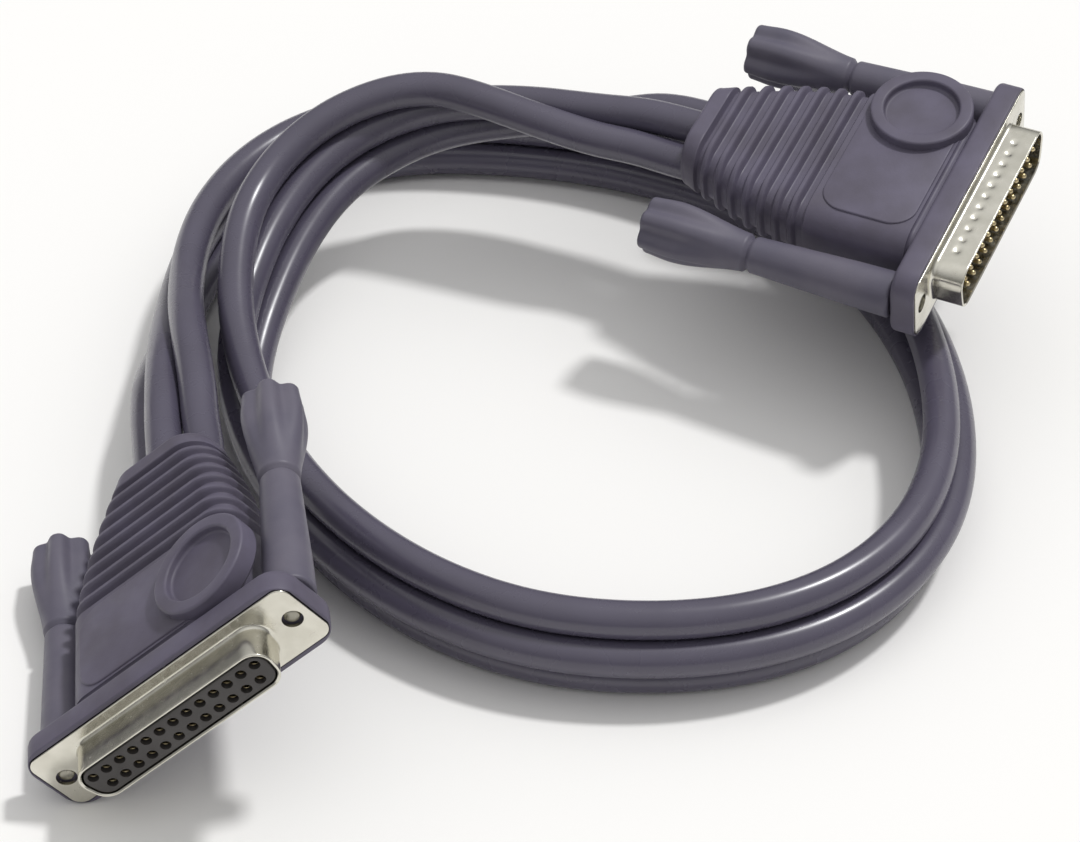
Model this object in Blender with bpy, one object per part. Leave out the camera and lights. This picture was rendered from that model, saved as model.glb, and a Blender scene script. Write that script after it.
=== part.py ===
# A short cable of three round cords with a moulded 25-way plug on one end and a moulded
# 25-way socket on the other, lying in one loose loop.
# Lengths are in metres and angles in degrees. Each connector is modelled in a frame of its
# own: X along the width of the D, Y back towards the cords, Z out of the side with the disc,
# with Y = 0 on the front of the metal flange.
import math

import bmesh
import bpy
import numpy as np
from mathutils import Matrix

# Clearances
GAP = 0.0003
PIN_CLEARANCE = 0.00015

# Insulators and contacts
INSULATOR_BACK = 0.0035
SOCKET_FACE_INSET = 0.0002
CONTACT_PITCH = 0.00277
ROW_SPACING = 0.00284
LONG_ROW = 13
SHORT_ROW = 12
ROW_LENGTH = (LONG_ROW - 1) * CONTACT_PITCH
PIN_RADIUS = 0.00051
PIN_INSET = 0.0003
PIN_BACK = 0.0037
PIN_TIP_FLAT = 0.2
PIN_NOSE = ((PIN_TIP_FLAT, 0.0), (0.55, 0.1), (0.9, 0.5), (1.0, 1.0))
SOCKET_HOLE_RADIUS = 0.00065
SOCKET_HOLE_DEPTH = 0.006

# Metal shells
SCREW_SPACING = 0.04704
SCREW_HOLE_RADIUS = 0.0017
PLATE_END = 0.003
PLATE_WIDTH = SCREW_SPACING + 2 * PLATE_END
PLATE_HEIGHT = 0.01255
PLATE_THICKNESS = 0.0008
PLATE_CORNER = 0.0022
SHELL_WALL = 0.0005
D_CORNER = 0.0026
D_LEAN = 10.0
PLUG_ROW_MARGIN = 0.00286
PLUG_INNER_WIDTH = ROW_LENGTH + 2 * PLUG_ROW_MARGIN
PLUG_INNER_HEIGHT = 0.00836
PLUG_REACH = 0.0059
SOCKET_ROW_MARGIN = 0.00207
SOCKET_INNER_WIDTH = ROW_LENGTH + 2 * SOCKET_ROW_MARGIN
SOCKET_INNER_HEIGHT = 0.0069
SOCKET_REACH = 0.0061
CUP_DEPTH = 0.0014

# Jackscrews
THREAD_RADIUS = 0.00142
THREAD_FRONT = 0.0005
THREAD_LENGTH = 0.0075
THREAD_POINT = 0.00043
SHANK_RADIUS = 0.0011
SHANK_END = 0.040

# Moulded grips on the jackscrews
SLEEVE_RADIUS = 0.0041
SLEEVE_WAIST_RADIUS = 0.0033
WAIST_START = 0.031
WAIST_END = 0.033
KNOB_RADIUS = 0.0056
KNOB_START = 0.0455
KNOB_ROUND = 0.001
GRIP_END = 0.052
LOBE_COUNT = 6
LOBE_DEPTH = 0.0009
LOBE_START_DEPTH = 0.00027
KNOB_DRAFT = 0.00025
RING_DEPTH = 0.0005

# Moulded hood
HOOD_FRONT = 0.0002
HOOD_FLANGE_END_LIP = 0.00068
HOOD_FLANGE_SIDE_LIP = 0.001025
HOOD_FLANGE_HALF_WIDTH = PLATE_WIDTH / 2 + HOOD_FLANGE_END_LIP
HOOD_FLANGE_HALF_HEIGHT = PLATE_HEIGHT / 2 + HOOD_FLANGE_SIDE_LIP
HOOD_FLANGE_BACK = 0.0047
HOOD_FLANGE_CORNER = 0.0042
HOOD_EDGE = 0.0005
NECK_DEPTH = 0.0006
NECK_LENGTH = 0.0005
BODY_HALF_WIDTH = 0.0178
BODY_HALF_HEIGHT = 0.0066
BODY_CORNER = 0.0046
BODY_BACK = 0.0248
BODY_NARROWING = 0.0003
BOOT_HALF_WIDTH = 0.0095
BOOT_HALF_HEIGHT = 0.0063
BOOT_CORNER = 0.0055
BOOT_END = 0.052
BOOT_TAPER_POWER = 1.65
RIB_COUNT = 7
FIRST_RIB = 0.0275
RIB_PITCH = 0.0032
RIB_WIDTH = 0.0021
RIB_EDGE = 0.0002
RIB_DEPTH = 0.0007
DISC_X = 0.0128
DISC_Y = 0.0144
DISC_RADIUS = 0.0092
DISC_THICKNESS = 0.0041
DISC_RECESS_RADIUS = 0.0068
DISC_RECESS_DEPTH = 0.0009
DISC_SLEEVE_CLEARANCE = 0.0008
PANEL_HALF_WIDTH = 0.0140
PANEL_FRONT = 0.0064
PANEL_BACK = 0.0238
PANEL_CORNER = 0.0045
PANEL_HEIGHT = 0.0005

# Where the two connectors lie: place of the frame's origin, then turns about X, Y and Z
MALE_PLACE = (0.07343, 0.03412, 0.0328)
MALE_TURNS = (-0.6, -10.5, 63.7)
FEMALE_PLACE = (-0.05797, -0.07402, 0.0212)
FEMALE_TURNS = (-1.5, -38.8, 8.0)
FEMALE_BOOT_BEND = 0.0015
BEND_POWER = 1.4

# Cords
CORD_DIAMETER = 0.0064
CORD_PITCH = CORD_DIAMETER + GAP
BOOT_SPREAD = 0.0058
CORD_LEAD = 0.006
CORD_STATIONS = 26
FINE_STEPS = 1500
TURN_WEIGHT = 0.015
LEAN_WEIGHT = 0.05
FREE_PITCH = CORD_PITCH + GAP / 2

# The middle cord's route from the plug to the socket, in millimetres. The last two values
# are the leans, in degrees, of the upper cord and the lower cord about the middle one.
ROUTE = (
    (8.4, 65.0, 32.3, 105, 50),
    (-1.6, 69.2, 30.8, 80, 34),
    (-11.9, 72.2, 29.3, 52, 18),
    (-22.2, 72.8, 27.8, 22, 2),
    (-32.4, 69.4, 26.1, -3, -15),
    (-42.0, 62.4, 23.6, -24, -28),
    (-49.4, 52.6, 19.8, -36, -37),
    (-54.6, 39.2, 15.4, -18, -38),
    (-56.8, 23.4, 11.8, 6, -29),
    (-54.6, 5.8, 9.6, 22, -22.8),
    (-47.7, -12.7, 9.6, 26, -22.8),
    (-35.2, -30.6, 9.6, 27, -22.8),
    (-20.5, -43.3, 9.6, 28, -22.8),
    (-4.2, -51.0, 9.6, 28, -22.8),
    (13.4, -53.6, 9.6, 28, -22.8),
    (30.4, -51.8, 9.6, 28, -22.8),
    (46.1, -45.0, 9.6, 28, -22.8),
    (58.8, -32.9, 9.6, 29, -22.8),
    (66.8, -16.8, 9.6, 30, -22.8),
    (69.8, 1.4, 9.6, 30, -22.8),
    (68.6, 22.4, 9.6, 29, -22.8),
    (62.6, 43.6, 9.6, 26, -22.8),
    (50.9, 63.2, 9.6, 22, -22.8),
    (33.3, 77.4, 9.6, 18, -22.8),
    (11.9, 87.4, 9.6, 15, -22.8),
    (-10.1, 91.9, 9.6, 13, -22.8),
    (-32.0, 91.2, 9.6, 13, -22.8),
    (-53.6, 79.0, 9.6, 13, -22.8),
    (-65.8, 56.6, 9.8, 15, -20),
    (-68.4, 33.0, 12.4, 24, 2),
    (-67.6, 10.5, 18.6, 46, 26),
)

for old in list(bpy.data.objects):
    bpy.data.objects.remove(old, do_unlink=True)

parts = bpy.data.collections.new("three_cord_cable")
cutters = bpy.data.collections.new("cutters")
for collection in (parts, cutters):
    bpy.context.scene.collection.children.link(collection)


def material(name, hex_colour, roughness, metallic):
    values = [int(hex_colour[i:i + 2], 16) / 255 for i in (0, 2, 4)]
    linear = [v / 12.92 if v <= 0.04045 else ((v + 0.055) / 1.055) ** 2.4 for v in values]
    result = bpy.data.materials.new(name)
    result.use_nodes = True
    shader = result.node_tree.nodes["Principled BSDF"]
    shader.inputs["Base Color"].default_value = (*linear, 1.0)
    shader.inputs["Roughness"].default_value = roughness
    shader.inputs["Metallic"].default_value = metallic
    return result


def round_outline(corners, radius, steps=4):
    """Points round a convex polygon in X and Z, each of its corners turned into an arc."""
    corners = np.array(corners, float)
    points = []
    for before, corner, after in zip(np.roll(corners, 1, 0), corners, np.roll(corners, -1, 0)):
        back = (before - corner) / np.linalg.norm(before - corner)
        ahead = (after - corner) / np.linalg.norm(after - corner)
        half = math.acos(back @ ahead) / 2
        middle = (back + ahead) / np.linalg.norm(back + ahead)
        centre = corner + middle * radius / math.sin(half)
        start = corner + back * radius / math.tan(half) - centre
        end = corner + ahead * radius / math.tan(half) - centre
        sweep = math.pi - 2 * half
        for share in np.linspace(0, 1, steps + 1):
            a = math.sin((1 - share) * sweep) / math.sin(sweep)
            b = math.sin(share * sweep) / math.sin(sweep)
            points.append(centre + a * start + b * end)
    return np.array(points)


def rounded_box(half_width, half_height, radius, steps=4):
    corners = [(-half_width, half_height), (half_width, half_height),
               (half_width, -half_height), (-half_width, -half_height)]
    return round_outline(corners, radius, steps)


def d_outline(width, height, corner):
    """The D of the connector: its wide side is up and its sides lean in by D_LEAN."""
    lean = math.radians(D_LEAN)
    half = width / 2 + corner * ((1 + math.sin(lean)) / math.cos(lean) - 1)
    step = height * math.tan(lean)
    corners = [(-half, height / 2), (half, height / 2), (half - step, -height / 2),
               (-half + step, -height / 2)]
    return round_outline(corners, corner)


def ring(outline, y, shift=0.0):
    return np.stack([outline[:, 0] + shift, np.full(len(outline), y), outline[:, 1]], 1)


def skin(name, rings):
    """One closed mesh through a row of rings, with a flat cap on each end."""
    rings = np.array(rings)
    rows, around = rings.shape[:2]
    first = np.arange(rows - 1)[:, None] * around
    here = np.arange(around)
    following = (here + 1) % around
    quads = np.stack([first + here, first + following, first + around + following,
                      first + around + here], -1).reshape(-1, 4).tolist()
    caps = [list(range(around)), list(range((rows - 1) * around, rows * around))]
    mesh = bpy.data.meshes.new(name)
    mesh.from_pydata(rings.reshape(-1, 3).tolist(), [], quads + caps)
    shape = bmesh.new()
    shape.from_mesh(mesh)
    bmesh.ops.recalc_face_normals(shape, faces=shape.faces)
    shape.to_mesh(mesh)
    shape.free()
    return mesh


def rod(name, radius, depth, sides, places, axis="Y"):
    """Cylinders of one size, each centred on its place."""
    turn = Matrix.Rotation(math.radians(90), 4, "X") if axis == "Y" else Matrix.Identity(4)
    shape = bmesh.new()
    for place in places:
        bmesh.ops.create_cone(shape, cap_ends=True, segments=sides, radius1=radius,
                              radius2=radius, depth=depth,
                              matrix=Matrix.Translation(place) @ turn)
    mesh = bpy.data.meshes.new(name)
    shape.to_mesh(mesh)
    shape.free()
    return mesh


def add_piece(name, mesh, frame, look, place=(0, 0, 0)):
    piece = bpy.data.objects.new(name, mesh)
    parts.objects.link(piece)
    piece.parent = frame
    piece.location = place
    if not mesh.materials:
        mesh.materials.append(look)
    mesh.shade_smooth()
    mesh.set_sharp_from_angle(angle=math.radians(35))
    return piece


def combine(piece, name, mesh, operation):
    """Add or take away a shape that stands in the same frame as the piece."""
    tool = bpy.data.objects.new(name, mesh)
    cutters.objects.link(tool)
    tool.parent = piece.parent
    tool.location = piece.location
    tool.hide_render = True
    tool.display_type = "WIRE"
    change = piece.modifiers.new(name, "BOOLEAN")
    change.operation = operation
    change.solver = "EXACT"
    change.object = tool


def connector_frame(name, place, turns):
    frame = bpy.data.objects.new(name, None)
    parts.objects.link(frame)
    frame.location = place
    frame.rotation_euler = [math.radians(turn) for turn in turns]
    return frame


SCREW_X = SCREW_SPACING / 2
REAR_FRONT = PLATE_THICKNESS + GAP
REAR_BACK = REAR_FRONT + PLATE_THICKNESS


def screw_places(y):
    return [(-SCREW_X, y, 0), (SCREW_X, y, 0)]


def contact_places(y):
    """The long row of contacts is on the wide side of the D."""
    places = []
    for count, z in ((LONG_ROW, ROW_SPACING / 2), (SHORT_ROW, -ROW_SPACING / 2)):
        for i in range(count):
            places.append(((i - (count - 1) / 2) * CONTACT_PITCH, y, z))
    return places


def add_shells(side, frame, inner_width, inner_height, reach, metal):
    """The front shell with its skirt, and the rear shell behind it with its cup."""
    plate = rounded_box(PLATE_WIDTH / 2, PLATE_HEIGHT / 2, PLATE_CORNER)
    outside = d_outline(inner_width + 2 * SHELL_WALL, inner_height + 2 * SHELL_WALL,
                        D_CORNER + SHELL_WALL)
    inside = d_outline(inner_width, inner_height, D_CORNER)
    both = (("front", 0.0, -reach), ("rear", REAR_FRONT, REAR_BACK + CUP_DEPTH))
    for shell, front, far_end in both:
        back = front + PLATE_THICKNESS
        name = f"{side}_{shell}_shell"
        piece = add_piece(name, skin(name, [ring(plate, front), ring(plate, back)]), frame, metal)
        middle = (front + back) / 2
        wall = sorted((middle, far_end))
        combine(piece, name + "_wall", skin(name + "_wall", [ring(outside, y) for y in wall]), "UNION")
        clear = (wall[0] - PLATE_THICKNESS, wall[1] + PLATE_THICKNESS)
        combine(piece, name + "_bore", skin(name + "_bore", [ring(inside, y) for y in clear]),
                "DIFFERENCE")
        combine(piece, name + "_holes", rod(name + "_holes", SCREW_HOLE_RADIUS, 4 * PLATE_THICKNESS,
                                            16, screw_places(middle)), "DIFFERENCE")


def add_insulator(side, frame, inner_width, inner_height, front, hole_radius, hole_back, plastic):
    outline = d_outline(inner_width - 2 * GAP, inner_height - 2 * GAP, D_CORNER - GAP)
    name = f"{side}_insulator"
    piece = add_piece(name, skin(name, [ring(outline, front), ring(outline, INSULATOR_BACK)]),
                      frame, plastic)
    depth = hole_back - front + PLATE_THICKNESS
    places = contact_places(hole_back - depth / 2)
    combine(piece, name + "_holes", rod(name + "_holes", hole_radius, depth, 8, places), "DIFFERENCE")


def add_pins(frame, metal):
    """Turned pins with a rounded tip, all sharing one mesh."""
    tip = -PLUG_REACH + PIN_INSET
    profile = [(wide * PIN_RADIUS, tip + far * PIN_RADIUS) for wide, far in PIN_NOSE]
    mesh = skin("plug_pin", turned(profile + [(PIN_RADIUS, PIN_BACK)], 8))
    for number, place in enumerate(contact_places(0.0), 1):
        add_piece(f"male_pin_{number:02d}", mesh, frame, metal, place)


def turned(profile, sides, lobes=()):
    """Rings about Y from pairs of radius and Y, with the lobe depth for each pair."""
    angles = np.arange(sides) * 2 * math.pi / sides
    depths = lobes if len(lobes) else [0.0] * len(profile)
    rings = []
    for (radius, y), depth in zip(profile, depths):
        waves = radius - depth * (0.5 - 0.5 * np.cos(LOBE_COUNT * angles))
        rings.append(ring(waves[:, None] * np.stack([np.cos(angles), np.sin(angles)], 1), y))
    return rings


def add_jackscrews(side, frame, metal, plastic):
    """A steel screw through the flange hole, inside a moulded grip that turns with it."""
    thread_end = THREAD_FRONT + THREAD_LENGTH
    screw = [(THREAD_RADIUS - THREAD_POINT, THREAD_FRONT), (THREAD_RADIUS, THREAD_FRONT + THREAD_POINT),
             (THREAD_RADIUS, thread_end), (SHANK_RADIUS, thread_end), (SHANK_RADIUS, SHANK_END)]
    front = HOOD_FLANGE_BACK + GAP
    grip = [(SHANK_RADIUS + GAP, SHANK_END + GAP, 0.0),
            (SHANK_RADIUS + GAP, thread_end + GAP, 0.0),
            (THREAD_RADIUS + GAP, thread_end + GAP, 0.0),
            (THREAD_RADIUS + GAP, front, 0.0),
            (SLEEVE_RADIUS - HOOD_EDGE, front, 0.0),
            (SLEEVE_RADIUS, front + HOOD_EDGE, 0.0),
            (SLEEVE_WAIST_RADIUS, WAIST_START, 0.0),
            (SLEEVE_WAIST_RADIUS - RING_DEPTH, WAIST_START + RING_DEPTH, 0.0),
            (SLEEVE_WAIST_RADIUS - RING_DEPTH, WAIST_END - RING_DEPTH, 0.0),
            (SLEEVE_WAIST_RADIUS + RING_DEPTH, WAIST_END, LOBE_START_DEPTH),
            (KNOB_RADIUS - RING_DEPTH, (WAIST_END + KNOB_START) / 2 + KNOB_ROUND, LOBE_DEPTH),
            (KNOB_RADIUS, KNOB_START, LOBE_DEPTH),
            (KNOB_RADIUS - KNOB_DRAFT, GRIP_END - KNOB_ROUND, LOBE_DEPTH),
            (KNOB_RADIUS - KNOB_ROUND, GRIP_END, LOBE_DEPTH)]
    screw_mesh = skin(f"{side}_screw", turned(screw, 12))
    grip_mesh = skin(f"{side}_grip", turned([row[:2] for row in grip], 24, [row[2] for row in grip]))
    for hand, place in zip(("left", "right"), screw_places(0.0)):
        add_piece(f"{side}_screw_{hand}", screw_mesh, frame, metal, place)
        add_piece(f"{side}_grip_{hand}", grip_mesh, frame, plastic, place)


def hood_rows():
    """Rows of Y, half width, half height and corner radius from the flange to the boot end."""
    e = HOOD_EDGE
    wide, high, corner = HOOD_FLANGE_HALF_WIDTH, HOOD_FLANGE_HALF_HEIGHT, HOOD_FLANGE_CORNER
    n = NECK_DEPTH
    neck = (BODY_HALF_WIDTH - n, BODY_HALF_HEIGHT - n, BODY_CORNER - n)
    rows = [(HOOD_FRONT, wide - e, high - e, corner - e), (HOOD_FRONT + e, wide, high, corner),
            (HOOD_FLANGE_BACK - e, wide, high, corner), (HOOD_FLANGE_BACK, wide - e, high - e, corner - e),
            (HOOD_FLANGE_BACK, *neck), (HOOD_FLANGE_BACK + NECK_LENGTH, *neck),
            (HOOD_FLANGE_BACK + NECK_LENGTH + n / 2, BODY_HALF_WIDTH, BODY_HALF_HEIGHT, BODY_CORNER)]

    def taper(y, depth):
        share = max(0.0, (y - BODY_BACK) / (BOOT_END - BODY_BACK))
        eased = share ** BOOT_TAPER_POWER
        start = BODY_HALF_WIDTH - BODY_NARROWING
        rows.append((y, start + (BOOT_HALF_WIDTH - start) * eased - depth,
                     BODY_HALF_HEIGHT + (BOOT_HALF_HEIGHT - BODY_HALF_HEIGHT) * share - depth,
                     BODY_CORNER + (BOOT_CORNER - BODY_CORNER) * share - depth))

    taper(BODY_BACK, 0.0)
    taper(BODY_BACK + RIB_EDGE, RIB_DEPTH)
    for i in range(RIB_COUNT):
        middle = FIRST_RIB + i * RIB_PITCH
        half = RIB_WIDTH / 2
        taper(middle - half, RIB_DEPTH)
        taper(middle - half + RIB_EDGE, 0.0)
        taper(middle + half - RIB_EDGE, 0.0)
        taper(middle + half, RIB_DEPTH)
    collar = FIRST_RIB + RIB_COUNT * RIB_PITCH - RIB_WIDTH / 2
    taper(collar, RIB_DEPTH)
    taper(collar + RIB_EDGE, 0.0)
    taper(BOOT_END - HOOD_EDGE, 0.0)
    taper(BOOT_END, HOOD_EDGE)
    return rows


def boot_shift(y, bend):
    share = max(0.0, (y - BODY_BACK) / (BOOT_END - BODY_BACK))
    return bend * share ** BEND_POWER


def add_hood(side, frame, bend, inner_width, inner_height, plastic):
    rows = hood_rows()
    name = f"{side}_hood"
    rings = [ring(rounded_box(w, h, r, 5), y, boot_shift(y, bend)) for y, w, h, r in rows]
    piece = add_piece(name, skin(name, rings), frame, plastic)
    low = SLEEVE_RADIUS + DISC_SLEEVE_CLEARANCE
    disc = rod(name + "_disc", DISC_RADIUS, DISC_THICKNESS, 32,
               [(DISC_X, DISC_Y, low + DISC_THICKNESS / 2)], "Z")
    combine(piece, name + "_disc", disc, "UNION")
    panel_outline = round_outline([(-PANEL_HALF_WIDTH, PANEL_FRONT), (PANEL_HALF_WIDTH, PANEL_FRONT),
                                   (PANEL_HALF_WIDTH, PANEL_BACK), (-PANEL_HALF_WIDTH, PANEL_BACK)],
                                  PANEL_CORNER)
    panel = [np.stack([panel_outline[:, 0], panel_outline[:, 1], np.full(len(panel_outline), z)], 1)
             for z in (BODY_HALF_HEIGHT / 2, BODY_HALF_HEIGHT + PANEL_HEIGHT)]
    combine(piece, name + "_panel", skin(name + "_panel", panel), "UNION")
    top = low + DISC_THICKNESS
    combine(piece, name + "_recess", rod(name + "_recess", DISC_RECESS_RADIUS, 2 * DISC_RECESS_DEPTH,
                                         32, [(DISC_X, DISC_Y, top)], "Z"), "DIFFERENCE")
    pocket = rounded_box(PLATE_WIDTH / 2 + GAP, PLATE_HEIGHT / 2 + GAP, PLATE_CORNER + GAP)
    combine(piece, name + "_pocket",
            skin(name + "_pocket", [ring(pocket, HOOD_FRONT - GAP), ring(pocket, REAR_BACK + GAP)]),
            "DIFFERENCE")
    margin = 2 * (SHELL_WALL + GAP)
    cavity = d_outline(inner_width + margin, inner_height + margin, D_CORNER + SHELL_WALL + GAP)
    combine(piece, name + "_cavity",
            skin(name + "_cavity", [ring(cavity, REAR_FRONT), ring(cavity, PIN_BACK + GAP)]),
            "DIFFERENCE")
    bores = rod(name + "_bores", SCREW_HOLE_RADIUS, 2 * HOOD_FLANGE_BACK, 16,
                screw_places(HOOD_FLANGE_BACK))
    combine(piece, name + "_bores", bores, "DIFFERENCE")


def natural_spline(knots, values, at):
    """Cubic curve through the values, with no bend at either end."""
    steps = np.diff(knots)
    count = len(knots)
    system = np.eye(count)
    right = np.zeros((count, values.shape[1]))
    for i in range(1, count - 1):
        system[i, i - 1:i + 2] = steps[i - 1], 2 * (steps[i - 1] + steps[i]), steps[i]
        right[i] = 6 * ((values[i + 1] - values[i]) / steps[i]
                        - (values[i] - values[i - 1]) / steps[i - 1])
    bends = np.linalg.solve(system, right)
    piece = np.clip(np.searchsorted(knots, at) - 1, 0, count - 2)
    step = steps[piece][:, None]
    a = (knots[piece + 1] - at)[:, None] / step
    b = 1 - a
    curve = a * values[piece] + b * values[piece + 1]
    return curve + ((a ** 3 - a) * bends[piece] + (b ** 3 - b) * bends[piece + 1]) * step ** 2 / 6


def side_axes(travel):
    """Unit vectors to the inside of the loop and up, square to the direction of travel."""
    inward = np.cross([0.0, 0.0, 1.0], travel)
    inward /= np.linalg.norm(inward, axis=-1, keepdims=True)
    return inward, np.cross(travel, inward)


def lean_of(offset, travel):
    inward, up = side_axes(travel)
    return math.degrees(math.atan2(offset @ inward, offset @ up))


def boot_places(frame, hand, bend, lead):
    """Centres of the middle, upper and lower cords, a lead beyond the end of the boot."""
    rise = math.sqrt(CORD_PITCH ** 2 - BOOT_SPREAD ** 2) / 2
    y = BOOT_END + GAP + lead
    local = np.array([(bend, y, rise), (bend - hand * BOOT_SPREAD, y, -rise),
                      (bend + hand * BOOT_SPREAD, y, -rise)])
    return local @ np.array(frame.to_3x3()).T + np.array(frame.translation)


def boot_leans(places, travel):
    middle, upper, lower = places
    return lean_of(upper - middle, travel), lean_of(middle - lower, travel)


def cord_paths(plug, socket):
    """Centre lines of the middle, upper and lower cords, at the same stations."""
    leads = (0.0, CORD_LEAD)
    start = [boot_places(plug, 1, 0.0, lead) for lead in leads]
    end = [boot_places(socket, -1, FEMALE_BOOT_BEND, lead) for lead in leads]
    upper_out, lower_out = boot_leans(start[0], np.array(plug.to_3x3())[:, 1])
    upper_in, lower_in = boot_leans(end[0], -np.array(socket.to_3x3())[:, 1])
    rows = [(*start[0][0], upper_out, lower_out), (*start[1][0], upper_out, lower_out)]
    for x, y, z, upper_lean, lower_lean in ROUTE:
        rows.append((x / 1000, y / 1000, z / 1000, upper_lean, lower_lean))
    rows += [(*end[1][0], upper_in, lower_in), (*end[0][0], upper_in, lower_in)]
    rows = np.array(rows)
    knots = np.concatenate([[0], np.cumsum(np.linalg.norm(np.diff(rows[:, :3], axis=0), axis=1))])
    fine = natural_spline(knots, rows, np.linspace(knots[1], knots[-2], FINE_STEPS))

    # Stations stand closer where the route bends or the cords wind round each other.
    legs = np.diff(fine[:, :3], axis=0)
    lengths = np.linalg.norm(legs, axis=1)
    ways = legs / lengths[:, None]
    turns = np.concatenate([[0], np.arccos(np.clip(np.sum(ways[1:] * ways[:-1], axis=1), -1, 1))])
    twists = np.abs(np.diff(np.radians(fine[:, 3:5]), axis=0)).max(axis=1)
    along = np.concatenate([[0], np.cumsum(lengths + TURN_WEIGHT * turns + LEAN_WEIGHT * twists)])
    chosen = np.searchsorted(along, np.linspace(0, along[-1], CORD_STATIONS - 2)[1:-1])
    travel = np.gradient(fine[:, :3], axis=0)
    travel /= np.linalg.norm(travel, axis=1)[:, None]
    middle = fine[chosen, :3]
    inward, up = side_axes(travel[chosen])
    upper_lean, lower_lean = np.radians(fine[chosen, 3:5]).T[:, :, None]
    upper = middle + FREE_PITCH * (np.sin(upper_lean) * inward + np.cos(upper_lean) * up)
    lower = middle - FREE_PITCH * (np.sin(lower_lean) * inward + np.cos(lower_lean) * up)
    paths = {}
    for i, (name, free) in enumerate((("middle", middle), ("upper", upper), ("lower", lower))):
        paths[name] = np.vstack([start[0][i], start[1][i], free, end[1][i], end[0][i]])
    return paths


def add_cord(name, points, jacket):
    curve = bpy.data.curves.new(name, "CURVE")
    curve.dimensions = "3D"
    curve.bevel_depth = CORD_DIAMETER / 2
    curve.bevel_resolution = 3
    curve.use_fill_caps = True
    spline = curve.splines.new("POLY")
    spline.points.add(len(points) - 1)
    for point, place in zip(spline.points, points):
        point.co = (*place, 1.0)
    curve.materials.append(jacket)
    cord = bpy.data.objects.new(name, curve)
    parts.objects.link(cord)


hood_plastic = material("hood_plastic", "66646F", 0.55, 0.0)
grip_plastic = material("grip_plastic", "625F6C", 0.5, 0.0)
cord_jacket = material("cord_jacket", "54505D", 0.42, 0.0)
nickel_plate = material("nickel_plate", "C9C6B7", 0.3, 1.0)
steel = material("zinc_steel", "B9B6AC", 0.35, 1.0)
gold = material("gold_contact", "D8B56A", 0.28, 1.0)
insulator_plastic = material("insulator_plastic", "2C2A2B", 0.5, 0.0)

male = connector_frame("male_frame", MALE_PLACE, MALE_TURNS)
female = connector_frame("female_frame", FEMALE_PLACE, FEMALE_TURNS)
ends = (("male", male, 0.0, PLUG_INNER_WIDTH, PLUG_INNER_HEIGHT, PLUG_REACH),
        ("female", female, FEMALE_BOOT_BEND, SOCKET_INNER_WIDTH, SOCKET_INNER_HEIGHT, SOCKET_REACH))
for side, frame, bend, inner_width, inner_height, reach in ends:
    add_shells(side, frame, inner_width, inner_height, reach, nickel_plate)
    add_hood(side, frame, bend, inner_width, inner_height, hood_plastic)
    add_jackscrews(side, frame, steel, grip_plastic)

add_insulator("male", male, PLUG_INNER_WIDTH, PLUG_INNER_HEIGHT, 0.0,
              PIN_RADIUS + PIN_CLEARANCE, INSULATOR_BACK + PIN_CLEARANCE, insulator_plastic)
socket_face = SOCKET_FACE_INSET - SOCKET_REACH
add_insulator("female", female, SOCKET_INNER_WIDTH, SOCKET_INNER_HEIGHT, socket_face,
              SOCKET_HOLE_RADIUS, socket_face + SOCKET_HOLE_DEPTH, insulator_plastic)
add_pins(male, gold)

bpy.context.view_layer.update()
for name, points in cord_paths(male.matrix_world, female.matrix_world).items():
    add_cord(f"cord_{name}", points, cord_jacket)
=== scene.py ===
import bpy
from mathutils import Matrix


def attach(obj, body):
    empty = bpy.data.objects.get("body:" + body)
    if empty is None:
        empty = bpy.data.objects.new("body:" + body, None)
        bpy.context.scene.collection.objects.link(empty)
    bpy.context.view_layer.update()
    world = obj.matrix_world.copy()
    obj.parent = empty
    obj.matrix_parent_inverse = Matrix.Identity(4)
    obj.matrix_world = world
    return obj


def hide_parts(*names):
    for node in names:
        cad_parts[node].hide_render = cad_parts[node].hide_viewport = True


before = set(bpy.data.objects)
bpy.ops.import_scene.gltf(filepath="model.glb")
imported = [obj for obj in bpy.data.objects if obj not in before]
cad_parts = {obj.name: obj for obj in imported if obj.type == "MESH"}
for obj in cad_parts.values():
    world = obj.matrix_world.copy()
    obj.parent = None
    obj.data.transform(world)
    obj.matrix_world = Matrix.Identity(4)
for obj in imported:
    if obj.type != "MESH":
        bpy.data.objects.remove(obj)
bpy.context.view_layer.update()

import math
import bmesh
import bpy
import numpy as np
from mathutils import Euler

mm = 0.001
scene = bpy.context.scene
scene.view_settings.view_transform = "Standard"

# camera, floor and light
view = {
    "elevation": 41.0,       # degrees above the table
    "distance": 571.0,       # mm from the middle of the frame
    "aim": (-2.57, 15.32),   # mm, the point of the table in the middle of the frame
    "lens": 106.67,
}
tilt = math.radians(view["elevation"])
cameraData = bpy.data.cameras.new("camera")
cameraData.lens = view["lens"]
cameraData.sensor_width = 36.0
cameraData.sensor_fit = "HORIZONTAL"
cameraData.clip_start = 0.02
cameraData.clip_end = 30.0
camera = bpy.data.objects.new("camera", cameraData)
camera.location = (view["aim"][0] * mm,
                   (view["aim"][1] - view["distance"] * math.cos(tilt)) * mm,
                   view["distance"] * math.sin(tilt) * mm)
camera.rotation_euler = (math.pi / 2 - tilt, 0, 0)
scene.collection.objects.link(camera)
scene.camera = camera

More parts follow.
